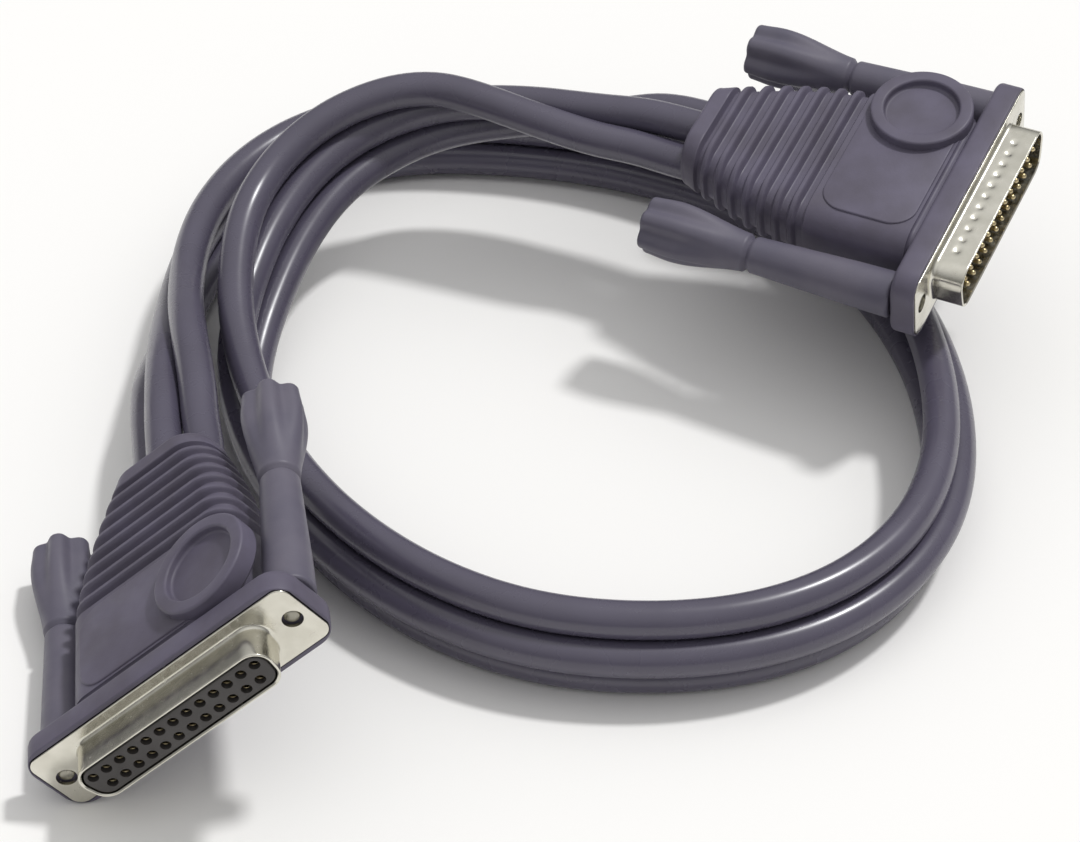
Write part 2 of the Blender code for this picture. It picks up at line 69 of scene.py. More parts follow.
studio = {
    "sunDirection": (0.395, 0.24, 0.885),   # towards the lamp, from the shadows of the grips
    "sunStrength": 1.6,
    "sunAngle": 6.5,
    "skyLow": 0.12,        # light from the horizon
    "skyHigh": 0.9,       # light from straight above
    "floorColour": "F6F5F3",
    "floorSize": 6.0,
}
sunData = bpy.data.lights.new("key", "SUN")
sunData.energy = studio["sunStrength"]
sunData.angle = math.radians(studio["sunAngle"])
sun = bpy.data.objects.new("key", sunData)
sunWay = np.array(studio["sunDirection"]) / np.linalg.norm(studio["sunDirection"])
sun.rotation_euler = (math.acos(sunWay[2]), 0, math.atan2(sunWay[1], sunWay[0]) + math.pi / 2)
scene.collection.objects.link(sun)


def toLinear(hexColour):   # sRGB hex to linear red, green, blue and alpha
    values = [int(hexColour[i:i + 2], 16) / 255 for i in (0, 2, 4)]
    return [v / 12.92 if v <= 0.04045 else ((v + 0.055) / 1.055) ** 2.4 for v in values] + [1.0]


def addNode(tree, kind, inputs=None, **settings):   # a node, its settings, and its values or links
    node = tree.nodes.new("ShaderNode" + kind)
    for key, value in settings.items():
        setattr(node, key, value)
    for key, value in (inputs or {}).items():
        if isinstance(value, bpy.types.NodeSocket):
            tree.links.new(value, node.inputs[key])
        else:
            node.inputs[key].default_value = value
    return node


world = bpy.data.worlds.new("studio")
world.use_nodes = True
sky = addNode(world.node_tree, "TexCoord").outputs["Generated"]
height = addNode(world.node_tree, "SeparateXYZ", {"Vector": sky}).outputs["Z"]
overhead = addNode(world.node_tree, "MapRange", {"Value": height, "To Min": studio["skyLow"],
                                                 "To Max": studio["skyHigh"]})
background = world.node_tree.nodes["Background"]
background.inputs["Color"].default_value = (1.0, 1.0, 1.0, 1.0)
world.node_tree.links.new(overhead.outputs["Result"], background.inputs["Strength"])
scene.world = world

half = studio["floorSize"] / 2
floorMesh = bpy.data.meshes.new("floor")
floorCorners = [(-half, -half, 0), (half, -half, 0), (half, half, 0), (-half, half, 0)]
floorMesh.from_pydata(floorCorners, [], [(0, 1, 2, 3)])
floor = bpy.data.objects.new("floor", floorMesh)
scene.collection.objects.link(floor)
paper = bpy.data.materials.new("white seamless paper")
paper.use_nodes = True
paperShader = paper.node_tree.nodes["Principled BSDF"]
paperShader.inputs["Base Color"].default_value = toLinear(studio["floorColour"])
paperShader.inputs["Roughness"].default_value = 0.85
paperShader.inputs["Specular IOR Level"].default_value = 0.2
floorMesh.materials.append(paper)
print("camera, floor and light")


# materials
def startMaterial(name, colour, roughness, metallic=0.0, **sockets):
    material = bpy.data.materials.new(name)
    material.use_nodes = True
    shader = material.node_tree.nodes["Principled BSDF"]
    shader.inputs["Base Color"].default_value = toLinear(colour)
    shader.inputs["Roughness"].default_value = roughness
    shader.inputs["Metallic"].default_value = metallic
    for key, value in sockets.items():
        shader.inputs[key].default_value = value
    return material, material.node_tree, shader


def mottle(tree, coordinates, size, low, high, detail=3.0):   # soft noise between two hex colours
    noise = addNode(tree, "TexNoise", {"Vector": coordinates, "Scale": 1 / size, "Detail": detail,
                                       "Roughness": 0.55})
    ramp = addNode(tree, "ValToRGB", {"Fac": noise.outputs["Fac"]})
    ramp.color_ramp.elements[0].position = 0.32
    ramp.color_ramp.elements[1].position = 0.68
    ramp.color_ramp.elements[0].color = toLinear(low)
    ramp.color_ramp.elements[1].color = toLinear(high)
    return ramp.outputs["Color"]


def roughnessNoise(tree, shader, coordinates, size, low, high):
    noise = addNode(tree, "TexNoise", {"Vector": coordinates, "Scale": 1 / size, "Detail": 4.0})
    spread = addNode(tree, "MapRange", {"Value": noise.outputs["Fac"], "From Min": 0.3, "From Max": 0.7,
                                        "To Min": low, "To Max": high})
    tree.links.new(spread.outputs["Result"], shader.inputs["Roughness"])


def grain(tree, shader, coordinates, size, depth):   # fine noise as a bump
    texture = addNode(tree, "TexNoise", {"Vector": coordinates, "Scale": 1 / size})
    height = texture.outputs["Fac"]
    bump = addNode(tree, "Bump", {"Height": height, "Strength": 0.6, "Distance": depth})
    tree.links.new(bump.outputs["Normal"], shader.inputs["Normal"])


# Flexible PVC overmould, injection moulded against a spark-eroded tool: a fine satin grain,
# dark violet-grey, a little lighter where hands and the tool have rubbed it.
def mouldedVinyl(name, low, high, roughness):
    material, tree, shader = startMaterial(name, high, roughness, **{"Specular IOR Level": 0.42})
    place = addNode(tree, "TexCoord").outputs["Object"]
    broad = mottle(tree, place, 9 * mm, low, high)
    tree.links.new(broad, shader.inputs["Base Color"])
    roughnessNoise(tree, shader, place, 4 * mm, roughness - 0.05, roughness + 0.07)
    # real grain is near 0.1 mm, drawn coarser so that it shows
    grain(tree, shader, place, 0.45 * mm, 0.03 * mm)
    return material


# Extruded PVC jacket: smooth and slightly glossy, with faint draw lines along the cord.
def extrudedVinyl(name, low, high, roughness):
    material, tree, shader = startMaterial(name, high, roughness, **{"Specular IOR Level": 0.6})
    place = addNode(tree, "Attribute", attribute_name="around").outputs["Vector"]
    around = addNode(tree, "Mapping", {"Vector": place, "Scale": (3.2, 3.2, 0.25)}).outputs["Vector"]
    lines = addNode(tree, "TexNoise", {"Vector": around, "Scale": 1.0, "Detail": 2.0})
    body = addNode(tree, "TexCoord").outputs["Object"]
    broad = mottle(tree, body, 14 * mm, low, high)
    tree.links.new(broad, shader.inputs["Base Color"])
    roughnessNoise(tree, shader, body, 6 * mm, roughness - 0.03, roughness + 0.04)
    bump = addNode(tree, "Bump", {"Height": lines.outputs["Fac"], "Strength": 0.2, "Distance": 0.03 * mm})
    tree.links.new(bump.outputs["Normal"], shader.inputs["Normal"])
    return material


# Nickel over stamped steel: warm silver, with the faint drawing marks of the press and some haze.
def nickelPlating(name, low, high, roughness):
    material, tree, shader = startMaterial(name, high, roughness, 1.0)
    place = addNode(tree, "TexCoord").outputs["Object"]
    broad = mottle(tree, place, 5 * mm, low, high)
    tree.links.new(broad, shader.inputs["Base Color"])
    roughnessNoise(tree, shader, place, 1.5 * mm, roughness - 0.04, roughness + 0.08)
    grain(tree, shader, place, 1.1 * mm, 0.006 * mm)
    return material


hoodVinyl = mouldedVinyl("moulded PVC, hood", "56515F", "625D6F", 0.5)
gripVinyl = mouldedVinyl("moulded PVC, grip", "5A5766", "66626F", 0.46)
cordVinyl = extrudedVinyl("extruded PVC, cord jacket", "4F4B5A", "545060", 0.27)
nickel = nickelPlating("nickel plated steel, stamped", "CBC8BC", "DEDBD0", 0.2)
zinc = nickelPlating("zinc plated steel, turned", "8E8B80", "A29F94", 0.3)
gold = nickelPlating("gold plated copper alloy, turned", "B3A27C", "C6B892", 0.26)
blackNylon = mouldedVinyl("glass filled nylon, moulded", "2B2929", "353232", 0.55)
greyNylon = mouldedVinyl("glass filled nylon, socket side", "3E3B3A", "4A4746", 0.5)
print("materials")

# shapes and how they are placed
connectors = {   # where each connector's own frame lies: X across the D, Y back to the cords, Z disc side
    "male": {"place": (73.43, 34.12, 32.8), "turns": (-0.6, -10.5, 63.7), "bend": 0.0, "hand": 1},
    "female": {"place": (-57.97, -74.02, 21.2), "turns": (-1.5, -38.8, 8.0), "bend": 1.5, "hand": -1},
}


def frameOf(side):
    ends = connectors[side]
    turn = np.array(Euler([math.radians(a) for a in ends["turns"]]).to_matrix())
    return np.array(ends["place"]), turn


def toWorld(points, side):   # connector millimetres to metres in the part's frame
    place, turn = frameOf(side)
    return (np.asarray(points) @ turn.T + place) * mm


def roundedOutline(halfWidth, halfHeight, radius, lean=0.0, arcSteps=8, sideSteps=8):
    # Outline of a box or a D in X and Z. Four corner centres are joined by straight runs, and each
    # point is a blend of two centres plus the radius times (cos a, sin a). The sides lean in by lean.
    # Sizes may be columns, one value a row, and the result is rows by points by two.
    halfWidth, halfHeight, radius = np.broadcast_arrays(*[np.atleast_1d(v).astype(float) for v in
                                                          (halfWidth, halfHeight, radius)])
    slope = math.tan(math.radians(lean))
    top = halfWidth - radius
    low = top - 2 * (halfHeight - radius) * slope
    up = halfHeight - radius
    centres = np.stack([np.stack([top, up], -1), np.stack([low, -up], -1),
                        np.stack([-low, -up], -1), np.stack([-top, up], -1)], 1)
    starts = (90.0, -lean, -90.0, -180.0 + lean)
    ends = (-lean, -90.0, -180.0 + lean, -270.0)
    weights, angles = [], []
    for i in range(4):
        arc = np.zeros((arcSteps + 1, 4))
        arc[:, i] = 1
        run = np.zeros((sideSteps - 1, 4))
        share = np.linspace(0, 1, sideSteps + 1)[1:-1]
        run[:, i] = 1 - share
        run[:, (i + 1) % 4] = share
        weights += [arc, run]
        angles += [np.linspace(starts[i], ends[i], arcSteps + 1), np.full(sideSteps - 1, ends[i])]
    weights = np.vstack(weights)
    angles = np.radians(np.concatenate(angles))
    middle = np.einsum("nk,rkc->rnc", weights, centres)
    return middle + radius[:, None, None] * np.stack([np.cos(angles), np.sin(angles)], -1)


def alongY(outline, y):   # rings of an X, Z outline at the rows' own Y
    y = np.broadcast_to(np.reshape(y, (-1, 1)), outline.shape[:2])
    return np.stack([outline[..., 0], y, outline[..., 1]], -1)


def turnedRings(radius, height, sides=48):   # a profile of radius and height turned about an axis
    a = np.linspace(0, 2 * math.pi, sides, endpoint=False)
    radius, height = np.asarray(radius, float)[:, None], np.asarray(height, float)[:, None]
    return radius * np.cos(a), radius * np.sin(a), np.broadcast_to(height, (len(radius), sides))


def smoothStep(low, high, value):
    share = np.clip((value - low) / (high - low), 0, 1)
    return share * share * (3 - 2 * share)


def surfaceFaces(rows, around, looped, offset):   # quads between rings, with a cap on each open end
    index = np.arange(rows * around).reshape(rows, around) + offset
    body = np.vstack([index, index[:1]]) if looped else index
    a, d = body[:-1], body[1:]
    quads = np.stack([a, np.roll(a, -1, 1), np.roll(d, -1, 1), d], -1).reshape(-1, 4).tolist()
    return quads if looped else quads + [index[0].tolist(), index[-1].tolist()]


def addPiece(name, surfaces, side, body, material, stands, sharp=32.0, around=None):
    # Surfaces are grids of points, rows by points by three, each closed round its rings. A grid that
    # also closes on itself is given as (grid, True). All of them become one mesh with faces outwards.
    points, faces, offset = [], [], 0
    for surface in surfaces:
        grid, looped = surface if isinstance(surface, tuple) else (surface, False)
        faces += surfaceFaces(grid.shape[0], grid.shape[1], looped, offset)
        points.append(grid.reshape(-1, 3))
        offset += grid.shape[0] * grid.shape[1]
    points = np.vstack(points)
    if side:
        points = toWorld(points, side)
    mesh = bpy.data.meshes.new(name)
    mesh.from_pydata(points.tolist(), [], faces)
    if around is not None:
        mesh.attributes.new("around", "FLOAT_VECTOR", "POINT").data.foreach_set("vector", around.ravel())
    shape = bmesh.new()
    shape.from_mesh(mesh)
    bmesh.ops.recalc_face_normals(shape, faces=shape.faces)
    shape.to_mesh(mesh)
    shape.free()
    mesh.materials.append(material)
    mesh.shade_smooth()
    mesh.set_sharp_from_angle(angle=math.radians(sharp))
    piece = bpy.data.objects.new(name, mesh)
    scene.collection.objects.link(piece)
    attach(piece, body)
    if stands:
        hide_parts(*stands)
    return piece


# cords
cords = {
    "diameter": 6.4,
    "gap": 0.3,           # between neighbours where they leave the boots
    "slack": 6.75,        # centre to centre in the CAD route
    "touch": 6.42,        # centre to centre as drawn, so that the cords lie against each other
    "spread": 5.8,        # sideways from the middle cord to its neighbours in a boot
    "lead": 6.0,          # straight run out of each boot
    "sunk": 1.6,          # how far a cord is drawn into its boot
    "bootEnd": 52.0,
    "sides": 28,
    "step": 1.6,          # mm between rings
    "clear": 5.0,         # how far the route keeps from the ends of the straight runs
    "places": 90,         # points at which the cords are set against each other
    "straight": 2.5,      # how far a drawn cord keeps its boot's direction
    "lengths": {"middle": 0.610, "upper": 0.595, "lower": 0.595},
}
# The middle cord's route from the plug to the socket, with the leans of the upper and the lower
# cord about it in degrees.
route = np.array([
    (8.4, 65.0, 32.3, 105, 50), (-1.6, 69.2, 30.8, 80, 34), (-11.9, 72.2, 29.3, 52, 18),
    (-22.2, 72.8, 27.8, 22, 2), (-32.4, 69.4, 26.1, -3, -15), (-42.0, 62.4, 23.6, -24, -28),
    (-49.4, 52.6, 19.8, -36, -37), (-54.6, 39.2, 15.4, -18, -38), (-56.8, 23.4, 11.8, 6, -29),
    (-54.6, 5.8, 9.6, 22, -22.8), (-47.7, -12.7, 9.6, 26, -22.8), (-35.2, -30.6, 9.6, 27, -22.8),
    (-20.5, -43.3, 9.6, 28, -22.8), (-4.2, -51.0, 9.6, 28, -22.8), (13.4, -53.6, 9.6, 28, -22.8),
    (30.4, -51.8, 9.6, 28, -22.8), (46.1, -45.0, 9.6, 28, -22.8), (58.8, -32.9, 9.6, 29, -22.8),
    (66.8, -16.8, 9.6, 30, -22.8), (69.8, 1.4, 9.6, 30, -22.8), (68.6, 22.4, 9.6, 29, -22.8),
    (62.6, 43.6, 9.6, 26, -22.8), (50.9, 63.2, 9.6, 22, -22.8), (33.3, 77.4, 9.6, 18, -22.8),
    (11.9, 87.4, 9.6, 15, -22.8), (-10.1, 91.9, 9.6, 13, -22.8), (-32.0, 91.2, 9.6, 13, -22.8),
    (-53.6, 79.0, 9.6, 13, -22.8), (-65.8, 56.6, 9.8, 15, -20), (-68.4, 33.0, 12.4, 24, 2),
    (-67.6, 10.5, 18.6, 46, 26)])


def naturalSpline(knots, values, at):   # cubic curve through the values, with no bend at either end
    steps = np.diff(knots)
    count = len(knots)
    system = np.eye(count)
    right = np.zeros((count, values.shape[1]))
    inner = np.arange(1, count - 1)
    system[inner, inner - 1] = steps[:-1]
    system[inner, inner] = 2 * (steps[:-1] + steps[1:])
    system[inner, inner + 1] = steps[1:]
    slopes = np.diff(values, axis=0) / steps[:, None]
    right[inner] = 6 * (slopes[1:] - slopes[:-1])
    bends = np.linalg.solve(system, right)
    piece = np.clip(np.searchsorted(knots, at) - 1, 0, count - 2)
    step = steps[piece][:, None]
    a = (knots[piece + 1] - at)[:, None] / step
    b = 1 - a
    line = a * values[piece] + b * values[piece + 1]
    return line + ((a ** 3 - a) * bends[piece] + (b ** 3 - b) * bends[piece + 1]) * step ** 2 / 6


def lengthAlong(points):
    return np.concatenate([[0], np.cumsum(np.linalg.norm(np.diff(points[:, :3], axis=0), axis=1))])


def sideAxes(travel):   # unit vectors to the inside of the loop and up, square to the travel
    inward = np.cross([0.0, 0.0, 1.0], travel)
    inward /= np.linalg.norm(inward, axis=-1, keepdims=True)
    return inward, np.cross(travel, inward)


def bootPlaces(side, lead):   # centres of the middle, upper and lower cords at a lead from the boot
    ends = connectors[side]
    pitch = cords["diameter"] + cords["gap"]
    rise = math.sqrt(pitch ** 2 - cords["spread"] ** 2) / 2
    y = cords["bootEnd"] + cords["gap"] + lead
    x = ends["bend"]
    spread = ends["hand"] * cords["spread"]
    place, turn = frameOf(side)
    return np.array([(x, y, rise), (x - spread, y, -rise), (x + spread, y, -rise)]) @ turn.T + place


def leansAt(places, travel):   # angles of the upper and lower cords about the middle one
    middle, upper, lower = places
    inward, up = sideAxes(travel)
    return [math.degrees(math.atan2(v @ inward, v @ up)) for v in (upper - middle, middle - lower)]


def cordLines():
    # Across the travel a cord lies at lean a, in the direction sin a inward + cos a up. The lower
    # cord keeps its place, and the middle and upper cords are brought up against it in turn.
    outLeans = leansAt(bootPlaces("male", 0), frameOf("male")[1][:, 1])
    inLeans = leansAt(bootPlaces("female", 0), -frameOf("female")[1][:, 1])
    start = [bootPlaces("male", lead)[0] for lead in (0, cords["lead"])]
    end = [bootPlaces("female", lead)[0] for lead in (cords["lead"], 0)]
    rows = np.vstack([[[*place, *outLeans] for place in start], route,
                      [[*place, *inLeans] for place in end]])
    knots = lengthAlong(rows)
    at = np.linspace(knots[1] + cords["clear"], knots[-2] - cords["clear"], cords["places"])
    fine = naturalSpline(knots, rows, at)
    travel = np.gradient(fine[:, :3], axis=0)
    travel /= np.linalg.norm(travel, axis=1)[:, None]
    inward, up = sideAxes(travel)
    upperLean, lowerLean = np.radians(fine[:, 3:5]).T[:, :, None]
    rise = np.sin(lowerLean) * inward + np.cos(lowerLean) * up
    lower = fine[:, :3] - cords["slack"] * rise
    middle = lower + cords["touch"] * rise
    upper = middle + cords["touch"] * (np.sin(upperLean) * inward + np.cos(upperLean) * up)
    lines = {}
    for i, (name, line) in enumerate((("middle", middle), ("upper", upper), ("lower", lower))):
        leads = (-cords["sunk"], 0, cords["straight"])
        ends = [bootPlaces("male", lead)[i] for lead in leads]
        others = [bootPlaces("female", lead)[i] for lead in leads[::-1]]
        whole = np.vstack([ends, line, others])
        along = lengthAlong(whole)
        count = int(along[-1] / cords["step"])
        lines[name] = naturalSpline(along, whole, np.linspace(0, along[-1], count))
    return lines


def tubeAlong(line, radius, sides):
    # Rings of a circle carried along a line: point = centre + r (cos a inward + sin a up), where inward and
    # up are square to the travel. The second result, for the draw lines, is cos a, sin a and the
    # centimetres along the cord.
    travel = np.gradient(line, axis=0)
    travel /= np.linalg.norm(travel, axis=1)[:, None]
    inward, up = sideAxes(travel)
    a = np.linspace(0, 2 * math.pi, sides, endpoint=False)
    across = np.cos(a)[:, None] * inward[:, None] + np.sin(a)[:, None] * up[:, None]
    rings = line[:, None] + radius * across
    along = np.broadcast_to(lengthAlong(line)[:, None] / 10, rings.shape[:2])
    circle = [np.broadcast_to(wave, rings.shape[:2]) for wave in (np.cos(a), np.sin(a))]
    return rings, np.stack([*circle, along], -1)


for name, line in cordLines().items():
    rings, around = tubeAlong(line, cords["diameter"] / 2, cords["sides"])
    piece = addPiece(f"{name}Cord", [rings * mm], None, "cable", cordVinyl, [f"cord_{name}"],
                     around=around)
    print(name, "cord, %.3f m" % (lengthAlong(line)[-1] * mm))

# moulded hoods
hood = {
    "flange": {"front": 0.2, "back": 4.7, "halfWidth": 27.2, "halfHeight": 7.3, "corner": 4.2,
               "edge": 0.9, "lip": 0.25},
    "pocket": {"halfWidth": 26.75, "halfHeight": 6.5, "corner": 2.4, "floor": 1.0},
    "neck": {"depth": 0.6, "back": 5.3},
    "body": {"halfWidth": 17.8, "halfHeight": 6.6, "corner": 4.6, "front": 6.2, "back": 24.8,
             "narrowing": 0.3, "narrowFrom": 6.0},
    "boot": {"halfWidth": 9.5, "halfHeight": 6.3, "corner": 5.5, "end": 52.0, "edge": 0.7,
             "taper": 1.65, "bendPower": 1.4},
    "ribs": {"count": 7, "first": 27.5, "pitch": 3.2, "half": 0.55, "edge": 0.5,
             "depth": 1.35, "sideDepth": 0.85, "step": 0.16, "fadeIn": 0.5, "fadeOut": 0.6},
    "disc": {"x": 12.8, "y": 14.4, "radius": 9.2, "recess": 6.7, "low": 4.9, "top": 8.7,
             "depth": 1.5, "edge": 0.5, "fillet": 0.5},
    "panel": {"halfWidth": 14.0, "front": 6.4, "back": 23.8, "corner": 4.5, "height": 0.3, "edge": 0.28},
}


def hoodRows():
    # Rows of Y, half width, half height and corner radius. Behind the neck the half width falls as
    # body + (boot - body) s^taper, s from 0 to 1, and each groove takes the same depth off all of them.
    flange, pocket, neck = hood["flange"], hood["pocket"], hood["neck"]
    body, boot, ribs = hood["body"], hood["boot"], hood["ribs"]
    turn = np.linspace(0, math.pi / 2, 5)
    e = flange["edge"]
    sizes = np.array([flange["halfWidth"], flange["halfHeight"], flange["corner"]])
    rows = [[pocket["floor"], pocket["halfWidth"], pocket["halfHeight"], pocket["corner"]],
            [flange["front"], pocket["halfWidth"], pocket["halfHeight"], pocket["corner"]]]
    lip = flange["lip"]   # the lip round the plate is thin, so its edge is turned less
    rows += [[flange["front"] + lip * (1 - math.cos(t)), *(sizes - lip * (1 - math.sin(t)))] for t in turn]
    rows += [[flange["back"] - e + e * math.sin(t), *(sizes - e * (1 - math.cos(t)))] for t in turn]
    inner = np.array([body["halfWidth"], body["halfHeight"], body["corner"]]) - neck["depth"]
    rows += [[flange["back"], *inner], [flange["back"] + 0.15, *inner], [neck["back"] - 0.15, *inner]]
    n = neck["depth"]
    rows += [[neck["back"] + n * math.sin(t), *(inner + n * (1 - math.cos(t)))] for t in turn]
    head = np.array(rows)

    bootEdge = boot["edge"]
    y = np.concatenate([np.linspace(body["front"], body["back"], 10)[:-1],
                        np.arange(body["back"], boot["end"] - bootEdge, ribs["step"])])
    share = np.clip((y - body["back"]) / (boot["end"] - body["back"]), 0, 1)
    fromRib = np.abs((y - ribs["first"] + ribs["pitch"] / 2) % ribs["pitch"] - ribs["pitch"] / 2)
    groove = smoothStep(ribs["half"] - ribs["edge"] / 2, ribs["half"] + ribs["edge"], fromRib)
    lastRib = ribs["first"] + (ribs["count"] - 0.5) * ribs["pitch"]
    groove *= smoothStep(body["back"], body["back"] + ribs["fadeIn"], y)
    groove *= 1 - smoothStep(lastRib, lastRib + ribs["fadeOut"], y)
    cut = ribs["depth"] * groove          # deeper on the flat faces than on the narrow sides
    sideCut = ribs["sideDepth"] * groove
    start = body["halfWidth"] - body["narrowing"] * smoothStep(body["narrowFrom"], body["back"], y)
    taper = (boot["halfWidth"] - body["halfWidth"] + body["narrowing"]) * share ** boot["taper"]
    tail = np.stack([y, start + taper - sideCut,
                     body["halfHeight"] + (boot["halfHeight"] - body["halfHeight"]) * share - cut,
                     body["corner"] + (boot["corner"] - body["corner"]) * share - cut], -1)
    last = tail[-1, 1:]
    end = np.array([[boot["end"] - bootEdge + bootEdge * math.sin(t), *(last - bootEdge * (1 - math.cos(t)))]
                    for t in turn])
    return np.vstack([head, tail, end])


def hoodSurfaces(bend):
    rows = hoodRows()
    outline = roundedOutline(rows[:, 1], rows[:, 2], rows[:, 3], arcSteps=12, sideSteps=12)
    body, boot = hood["body"], hood["boot"]
    share = np.clip((rows[:, 0] - body["back"]) / (boot["end"] - body["back"]), 0, 1)
    outline[..., 0] += bend * (share ** boot["bendPower"])[:, None]
    surfaces = [alongY(outline, rows[:, 0])]

    disc = hood["disc"]   # boss: outer wall, rolled rim, recess wall and floor, turned about Z
    t = np.linspace(0, math.pi / 2, 7)
    e, r, inner, top = disc["edge"], disc["radius"], disc["recess"], disc["top"]
    floorHeight = top - disc["depth"]
    fillet = disc["fillet"]   # between the recess wall and its floor
    radius = np.concatenate([[0.3, r - 0.4], [r], r - e + e * np.cos(t), inner + e - e * np.sin(t),
                             [inner - 0.05], inner - 0.05 - fillet * (1 - np.cos(t)), [3.0, 0.3]])
    height = np.concatenate([[disc["low"], disc["low"]], [disc["low"] + 0.4], top - e + e * np.sin(t),
                             top - e + e * np.cos(t), [floorHeight + fillet],
                             floorHeight + fillet - fillet * np.sin(t), [floorHeight, floorHeight]])
    x, y, z = turnedRings(radius, height, 72)
    surfaces.append(np.stack([x + disc["x"], y + disc["y"], z], -1))

    panel = hood["panel"]   # bare raised field with a rolled edge
    t = np.linspace(0, math.pi / 2, 5)
    e = panel["edge"]
    shrink = np.concatenate([[0], e * (1 - np.cos(t))])
    level = np.concatenate([[3.0], body["halfHeight"] + panel["height"] - e + e * np.sin(t)])
    length = (panel["back"] - panel["front"]) / 2
    field = roundedOutline(panel["halfWidth"] - shrink, length - shrink, panel["corner"] - shrink,
                           arcSteps=10, sideSteps=6)
    z = np.broadcast_to(level[:, None], field.shape[:2])
    surfaces.append(np.stack([field[..., 0], field[..., 1] + panel["front"] + length, z], -1))
    return surfaces


for side, ends in connectors.items():
    addPiece(f"{side}Hood", hoodSurfaces(ends["bend"]), side, "cable", hoodVinyl,
             [f"{side}_hood"])
print("hoods")

# metal shells
shell = {
    "plate": {"halfWidth": 26.52, "halfHeight": 6.275, "corner": 2.2, "thickness": 0.8, "edge": 0.18},
    "wall": 0.5, "corner": 2.6, "lean": 10.0, "fillet": 0.7, "lip": 0.2,
    "hem": 0.25,          # how far the inner wall stands out where it meets the plate
    "holeX": 23.52, "holeRadius": 1.7,
    "male": {"halfWidth": 19.48, "halfHeight": 4.18, "reach": 5.9, "dimples": 11},
    "female": {"halfWidth": 18.69, "halfHeight": 3.45, "reach": 6.1, "dimples": 0},
    "dimple": {"radius": 0.62, "depth": 0.34, "y": -2.7, "pitch": 2.77, "sharpness": 1.2},
}


def shellGrid(side):
    # A sheet closed on itself. The rows run from the plate's back edge over its front face, round
    # the fillet, out along the skirt, over the lip and back down its inner wall.
    sizes, plate = shell[side], shell["plate"]
    wall, corner, lean, reach = shell["wall"], shell["corner"], shell["lean"], sizes["reach"]
    steps = {"arcSteps": 8, "sideSteps": 72}
    t = np.linspace(0, math.pi / 2, 6)
    e = plate["edge"]

    def plateRing(inset, y):
        return alongY(roundedOutline(plate["halfWidth"] - inset, plate["halfHeight"] - inset,
                                     plate["corner"] - inset, 0.0, **steps), y)

    def skirtRing(outset, y):
        return alongY(roundedOutline(sizes["halfWidth"] + outset, sizes["halfHeight"] + outset,
                                     corner + outset, lean, **steps), y)

    f, lip, hem, thick = shell["fillet"], shell["lip"], shell["hem"], plate["thickness"]
    rows = [skirtRing(np.array([hem]), np.array([thick])), plateRing(np.array([0.0]), np.array([thick])),
            plateRing(e * (1 - np.cos(t)), e - e * np.sin(t)),
            skirtRing(wall + f * (1 - np.sin(t)), -f * (1 - np.cos(t))),
            skirtRing(np.full(20, wall), np.linspace(-f - 0.1, -reach + lip, 20)),
            skirtRing(wall - lip * (1 - np.cos(t)), -reach + lip - lip * np.sin(t)),
            skirtRing(lip * np.cos(t)[1:], -reach + lip - lip * np.sin(t[::-1])[1:]),
            skirtRing(np.zeros(20), np.linspace(-reach + lip + 0.1, -f, 20)),
            skirtRing(hem * np.sin(t), -f + (f + thick * 0.5) * (1 - np.cos(t)))]
    grid = np.vstack(rows)
    dimple = shell["dimple"]
    for i in range(sizes["dimples"]):   # grounding dimples pressed into the wide side
        x = (i - (sizes["dimples"] - 1) / 2) * dimple["pitch"]
        near = ((grid[..., 0] - x) ** 2 + (grid[..., 1] - dimple["y"]) ** 2) / dimple["radius"] ** 2
        high = smoothStep(sizes["halfHeight"] - 1.2, sizes["halfHeight"] - 0.2, grid[..., 2])
        grid[..., 2] -= dimple["depth"] * np.exp(-near * dimple["sharpness"]) * high * (grid[..., 1] < -f)
    return grid


def cutHoles(piece, side, places, radius, front, back, name):   # round holes along the connector's Y
    sides = 32
    x, z, height = turnedRings([radius, radius], [front, back], sides)
    ring = np.stack([x, height, z], -1)
    drills = bpy.data.meshes.new(name)
    points, faces = [], []
    for i, place in enumerate(places):
        faces += surfaceFaces(2, sides, False, 2 * sides * i)
        points.append(toWorld((ring + np.array(place)).reshape(-1, 3), side))
    drills.from_pydata(np.vstack(points).tolist(), [], faces)
    shape = bmesh.new()
    shape.from_mesh(drills)
    bmesh.ops.recalc_face_normals(shape, faces=shape.faces)
    shape.to_mesh(drills)
    shape.free()
    tool = bpy.data.objects.new(name, drills)
    scene.collection.objects.link(tool)
    cut = piece.modifiers.new(name, "BOOLEAN")
    cut.operation = "DIFFERENCE"
    cut.solver = "EXACT"
    cut.object = tool
    evaluated = piece.evaluated_get(bpy.context.evaluated_depsgraph_get())
    finished = bpy.data.meshes.new_from_object(evaluated)
    piece.modifiers.clear()
    piece.data = finished
    finished.shade_smooth()
    finished.set_sharp_from_angle(angle=math.radians(32))
    bpy.data.objects.remove(tool, do_unlink=True)


for side in connectors:
    piece = addPiece(f"{side}Shell", [(shellGrid(side), True)], side, "cable", nickel,
                     [f"{side}_front_shell"])
    holes = [(x, 0, 0) for x in (-shell["holeX"], shell["holeX"])]
    cutHoles(piece, side, holes, shell["holeRadius"], -2.0, 3.0, f"{side}ShellHoles")
    for slotIndex in range(len(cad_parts[f"{side}_rear_shell"].material_slots)):
        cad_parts[f"{side}_rear_shell"].material_slots[slotIndex].material = nickel
print("shells")

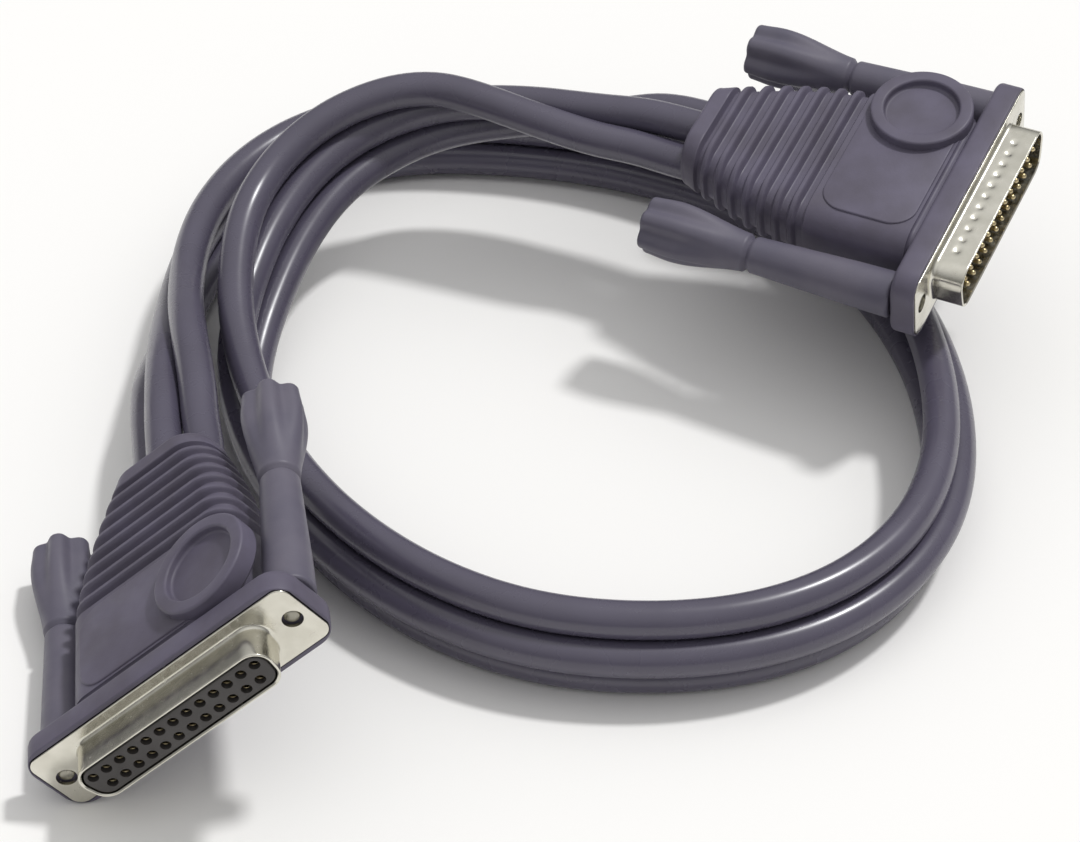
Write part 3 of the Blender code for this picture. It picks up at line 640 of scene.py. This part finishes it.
# insulators and contacts
contacts = {
    "pitch": 2.77, "rows": 2.84, "long": 13, "short": 12,
    "pin": {"radius": 0.51, "front": -5.6, "back": 3.7},
    "sleeve": {"outer": 0.8, "inner": 0.6, "front": -5.0, "back": -1.0},
    "maleBlock": {"halfWidth": 19.18, "halfHeight": 3.88, "corner": 2.3, "front": 0.0, "back": 3.5,
                  "hole": 0.66, "holeDepth": 3.0, "edge": 0.2},
    "femaleBlock": {"halfWidth": 18.39, "halfHeight": 3.15, "corner": 2.3, "front": -5.9, "back": 3.5,
                    "hole": 0.9, "holeDepth": 5.9, "edge": 0.2},
}


def contactPlaces():
    places = []
    for count, z in ((contacts["long"], contacts["rows"] / 2), (contacts["short"], -contacts["rows"] / 2)):
        x = (np.arange(count) - (count - 1) / 2) * contacts["pitch"]
        places.append(np.stack([x, np.zeros(count), np.full(count, z)], -1))
    return np.vstack(places)


for side, material in (("male", blackNylon), ("female", greyNylon)):
    block = contacts[f"{side}Block"]
    t = np.linspace(0, math.pi / 2, 4)
    e = block["edge"]
    inset = np.concatenate([e * (1 - np.sin(t)), [0.0]])
    y = np.concatenate([block["front"] + e * (1 - np.cos(t)), [block["back"]]])
    outline = roundedOutline(block["halfWidth"] - inset, block["halfHeight"] - inset,
                             block["corner"] - inset, shell["lean"], 6, 4)
    piece = addPiece(f"{side}Insulator", [alongY(outline, y)], side, "cable", material,
                     [f"{side}_insulator"])
    cutHoles(piece, side, contactPlaces(), block["hole"], block["front"] - 1.0,
             block["front"] + block["holeDepth"], f"{side}ContactHoles")

pin = contacts["pin"]   # a pin: rounded nose, then a straight shank
t = np.linspace(0.15, math.pi / 2, 7)
radius = np.concatenate([pin["radius"] * np.sin(t), [pin["radius"]]])
height = np.concatenate([pin["front"] + 1.3 * pin["radius"] * (1 - np.cos(t)), [pin["back"]]])
x, z, y = turnedRings(radius, height, 16)
onePin = np.stack([x, y, z], -1)
addPiece("malePins", [onePin + place for place in contactPlaces()], "male", "cable", gold,
         [f"male_pin_{i:02d}" for i in range(1, 26)])

sleeve = contacts["sleeve"]   # a socket contact: a short tube with a rounded mouth
inner, outer, front, back = (sleeve[key] for key in ("inner", "outer", "front", "back"))
radius = np.array([inner, inner, inner + 0.08, outer - 0.06, outer, outer])
height = np.array([back, front + 0.1, front, front, front + 0.1, back])
x, z, y = turnedRings(radius, height, 16)
oneSleeve = np.stack([x, y, z], -1)
addPiece("femaleContacts", [(oneSleeve + place, True) for place in contactPlaces()], "female", "cable",
         gold, [])
print("insulators and contacts")

# jackscrews and their grips
jackscrew = {
    "x": 23.52, "thread": 1.42, "threadDepth": 0.3, "threadPitch": 0.635, "front": 0.5, "threadEnd": 8.0,
    "shank": 1.1, "end": 40.0,
}
grip = {
    "front": 5.0, "sleeve": 4.1, "waist": 3.3, "waistStart": 31.0, "waistEnd": 33.0, "groove": 0.55,
    "knob": 5.6, "knobAt": 46.5, "end": 52.0, "endRadius": 5.2, "lobes": 6, "lobeDepth": 1.15, "edge": 0.7,
    "roll": 0.6,          # rolled edge at the flange end
}


def screwGrid():
    # r = thread - depth |2 frac(y / pitch + a / 2 pi) - 1|, the ridge of a single-start thread
    y = np.linspace(jackscrew["front"], jackscrew["threadEnd"], 120)[:, None]
    a = np.linspace(0, 2 * math.pi, 32, endpoint=False)[None]
    turn = (y / jackscrew["threadPitch"] + a / (2 * math.pi)) % 1
    r = jackscrew["thread"] - jackscrew["threadDepth"] * np.abs(2 * turn - 1)
    nose = smoothStep(jackscrew["front"] - 0.4, jackscrew["front"] + 0.7, y)
    r = np.minimum(r, 0.75 + 0.9 * nose)
    thread = np.stack([r * np.cos(a), np.broadcast_to(y, r.shape), r * np.sin(a)], -1)
    shank = jackscrew["shank"]
    x, z, height = turnedRings([shank, shank], [jackscrew["threadEnd"] + 0.1, jackscrew["end"]], 32)
    return np.vstack([thread, np.stack([x, height, z], -1)])


def gripGrid():
    # r = profile(y) - depth(y) (0.5 - 0.5 cos 6a)^1.4, flutes that deepen towards the end
    g = grip
    t = np.linspace(0, math.pi / 2, 6)
    edge, roll = g["edge"], g["roll"]
    front = np.array([(g["sleeve"] - roll + roll * math.sin(s), g["front"] + roll * (1 - math.cos(s)))
                      for s in t])
    y = np.arange(g["front"] + 0.8, g["end"] - g["edge"] + 0.01, 0.25)
    r = np.interp(y, [g["front"], 12, g["waistStart"]], [g["sleeve"], g["sleeve"] - 0.12, g["waist"]])
    rising = smoothStep(g["waistEnd"] - 0.4, g["knobAt"], y)
    flare = g["waist"] + 0.15 + (g["knob"] - g["waist"] - 0.15) * rising ** 0.8
    flare -= (g["knob"] - g["endRadius"]) * smoothStep(g["knobAt"], g["end"], y)
    r = np.where(y > g["waistEnd"] - 0.4, flare, r)
    r -= g["groove"] * np.exp(-((y - (g["waistStart"] + g["waistEnd"]) / 2) / 0.42) ** 2)
    end = np.array([(g["endRadius"] - edge * (1 - math.cos(s)), g["end"] - edge * (1 - math.sin(s)))
                    for s in t])
    dish = np.array([(g["endRadius"] - edge - 0.3, g["end"]), (1.2, g["end"] - 0.15), (0.4, g["end"] - 0.15)])
    radius = np.concatenate([[1.75], front[:, 0], r, end[:, 0], dish[:, 0]])
    height = np.concatenate([[g["front"]], front[:, 1], y, end[:, 1], dish[:, 1]])
    depth = g["lobeDepth"] * smoothStep(g["waistEnd"], g["knobAt"] + 2, height)
    depth = depth * np.clip(radius / g["knob"], 0, 1) * (radius > 2)
    a = np.linspace(0, 2 * math.pi, 96, endpoint=False)
    waves = (0.5 - 0.5 * np.cos(g["lobes"] * a)) ** 1.4
    radius = radius[:, None] - depth[:, None] * waves
    height = np.broadcast_to(height[:, None], radius.shape)
    return np.stack([radius * np.cos(a), height, radius * np.sin(a)], -1)


for side in connectors:
    for hand, x in (("left", -jackscrew["x"]), ("right", jackscrew["x"])):
        axis = np.array([x, 0, 0])
        body = f"{side}_jackscrew_{hand}"
        addPiece(f"{side}Screw{hand.title()}", [screwGrid() + axis], side, body, zinc,
                 [f"{side}_screw_{hand}"], 50.0)
        addPiece(f"{side}Grip{hand.title()}", [gripGrid() + axis], side, body, gripVinyl,
                 [f"{side}_grip_{hand}"], 40.0)
print("jackscrews and grips")
